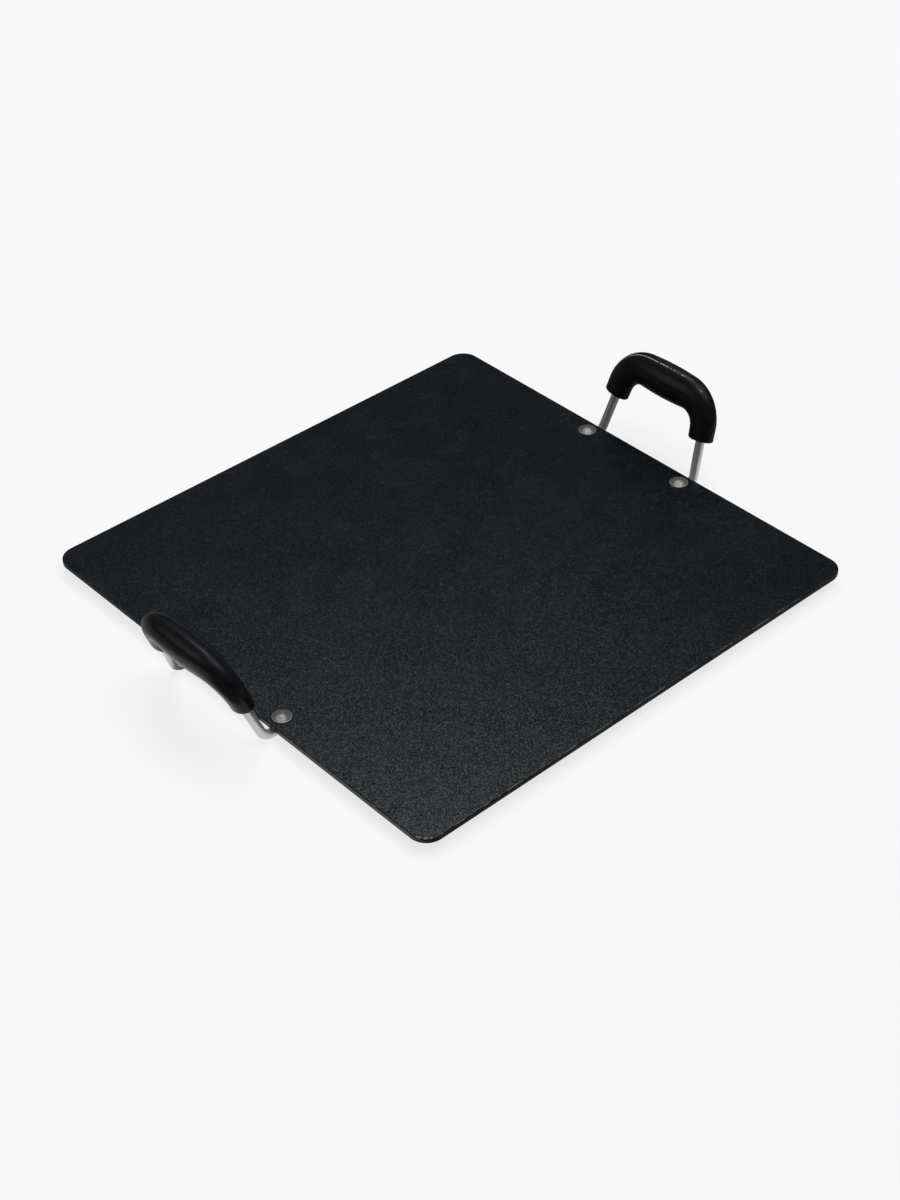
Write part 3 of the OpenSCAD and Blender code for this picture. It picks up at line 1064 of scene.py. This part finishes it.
# %% Drawn steel
STEEL_LINES = ((0.70, 0.70, 0.695, 1), (0.86, 0.86, 0.855, 1))
STEEL_NICK = (0.46, 0.455, 0.45, 1)


def drawn_steel():
    material, shader, place = new_finish("drawn_steel", {"Metallic": 0.7})
    around = place.add("ShaderNodeAttribute", {"attribute_name": "around"}, None, "Vector")
    lines = around.noise(9.0, 4.0, 0.6)
    clouds = place.noise(0.16, 3.0, 0.55)
    nicks = place.stretched((0.5, 0.5, 1.6)).noise(1.2, 3.0, 0.6).rise(0.66, 0.74)
    bright = lines.rise(0.3, 0.7).blend(*STEEL_LINES)
    feed(shader["Base Color"], (nicks * 0.35 + clouds * 0.2).blend(bright, STEEL_NICK))
    feed(shader["Roughness"], 0.32 + lines * 0.16 + (clouds - 0.4) * 0.12 + nicks * 0.12)
    feed(shader["Normal"], relief(lines + clouds * 0.5, 0.03 * MM))
    return material


steel = drawn_steel()
put_in_place(right_rod, "right_handle_rod", steel)
put_in_place(left_rod, "left_handle_rod", steel)

# %% Black moulding
MOULDING_GLOSS = {"IOR": 1.25, "Specular Tint": (0.94, 0.97, 1.0, 1)}
MOULDING_BLACK = ((0.0095, 0.0099, 0.0114, 1), (0.0125, 0.0130, 0.0148, 1))
MOULDING_HAZE = (0.0140, 0.0145, 0.0160, 1)
RUBBED_LINE_COLOUR = (0.42, 0.42, 0.41, 1)
# Colour of the scuff and of the painted glint on it.
SCUFF_AND_GLINT_COLOUR = (0.78, 0.80, 0.80, 1)
TOP_OF_GRIP = (46.0, 54.0)
# Where a painted glint sits on the scuff line, in millimetres along Y.
GLINT_PLACE = -30.0


def black_moulding():
    material, shader, place = new_finish("black_moulding", MOULDING_GLOSS)
    x, y, z = place.split()
    reach = abs(x) - foot.x / MM
    height = z - rod_level / MM
    up_handle = reach * math.sin(HANDLE_LEAN) + height * math.cos(HANDLE_LEAN)
    top = up_handle.rise(*TOP_OF_GRIP)
    line = place.add("ShaderNodeAttribute", {"attribute_name": "mould_line"}, None, "Fac").rise(0.2, 0.8)
    side = place.add("ShaderNodeAttribute", {"attribute_name": "scuff"}, None, "Fac").rise(0.2, 0.8)
    on_right = x.rise(-1, 1)

    grain = place.noise(1.6, 3.0, 0.6)
    clouds = place.noise(0.07, 3.0, 0.55)
    dashes = place.stretched((0.1, 0.36, 0.1)).noise(1.0, 3.0, 0.6)
    # A painted glint: a bright spot on the scuff line near the front of the right grip.
    painted_glint = abs(y - GLINT_PLACE).rise(1.4, 0.4)
    broken_scuff_and_glint = (dashes + y * 0.011).rise(0.40, 0.52).most(painted_glint * 0.6)
    # The scuff on the right grip, with the painted glint on it.
    scuff_and_glint = side * top * on_right * broken_scuff_and_glint
    rubbed = line * top * dashes.rise(0.45, 0.6) * 0.05
    colour = grain.rise(0.3, 0.75).blend(*MOULDING_BLACK)
    colour = clouds.rise(0.4, 0.8).blend(colour, MOULDING_HAZE)
    colour = rubbed.blend(colour, RUBBED_LINE_COLOUR)
    feed(shader["Base Color"], scuff_and_glint.blend(colour, SCUFF_AND_GLINT_COLOUR))
    feed(shader["Roughness"], 0.27 + (clouds - 0.5) * 0.08 + (grain - 0.5) * 0.06 + scuff_and_glint * 0.2)
    feed(shader["Normal"], relief(grain, 0.02 * MM))
    return material


moulding = black_moulding()
put_in_place(right_grip, "right_grip", moulding)
put_in_place(left_grip, "left_grip", moulding)

# %% Dull rivet metal
RIVET_DULL = ((0.125, 0.125, 0.127, 1), (0.175, 0.175, 0.175, 1))
# Colour of the painted highlight and of the brighter rim on the rivet heads.
RIVET_HIGHLIGHT_AND_RIM = (0.53, 0.527, 0.517, 1)
# A painted highlight on the front left of each rivet head, in millimetres from its middle, and its soft edge.
HIGHLIGHT_PLACE = (-2.7, -2.3)
HIGHLIGHT_EDGE = (3.9, 2.3)
RAGGEDNESS = 6


def dull_rivet_metal():
    material, shader, place = new_finish("dull_rivet_metal", {"Metallic": 0.3})
    clouds = place.noise(0.42, 4.0, 0.6)
    grain = place.noise(2.4, 3.0, 0.6)
    blows = place.noise(0.8, 3.0, 0.65)
    x, y, _ = place.split()
    from_x = x - x.math("SIGN", x) * (rivet_middle.x / MM)
    from_y = y - y.math("SIGN", y) * (rivet_middle.y / MM)
    rim = hypotenuse(from_x, from_y).rise(head - 0.65, head - 0.3)
    # A ragged painted highlight on the front left of each head.
    from_highlight = hypotenuse(from_x - HIGHLIGHT_PLACE[0], from_y - HIGHLIGHT_PLACE[1])
    painted_highlight = (from_highlight + (blows - 0.5) * RAGGEDNESS).rise(*HIGHLIGHT_EDGE)
    # The painted highlight, or the brighter rim where that is brighter.
    bright = (painted_highlight * (0.55 + blows.rise(0.46, 0.56))).most(rim * 0.75)
    dull = clouds.rise(0.3, 0.7).blend(*RIVET_DULL)
    feed(shader["Base Color"], (bright * (0.5 + grain * 0.5)).blend(dull, RIVET_HIGHLIGHT_AND_RIM))
    feed(shader["Roughness"], 0.52 + (grain - 0.5) * 0.2 - bright * 0.1)
    feed(shader["Normal"], relief(grain * 0.3 + blows, 0.2 * MM))
    return material


rivet_metal = dull_rivet_metal()
for node, piece in rivets.items():
    put_in_place(piece, node, rivet_metal)
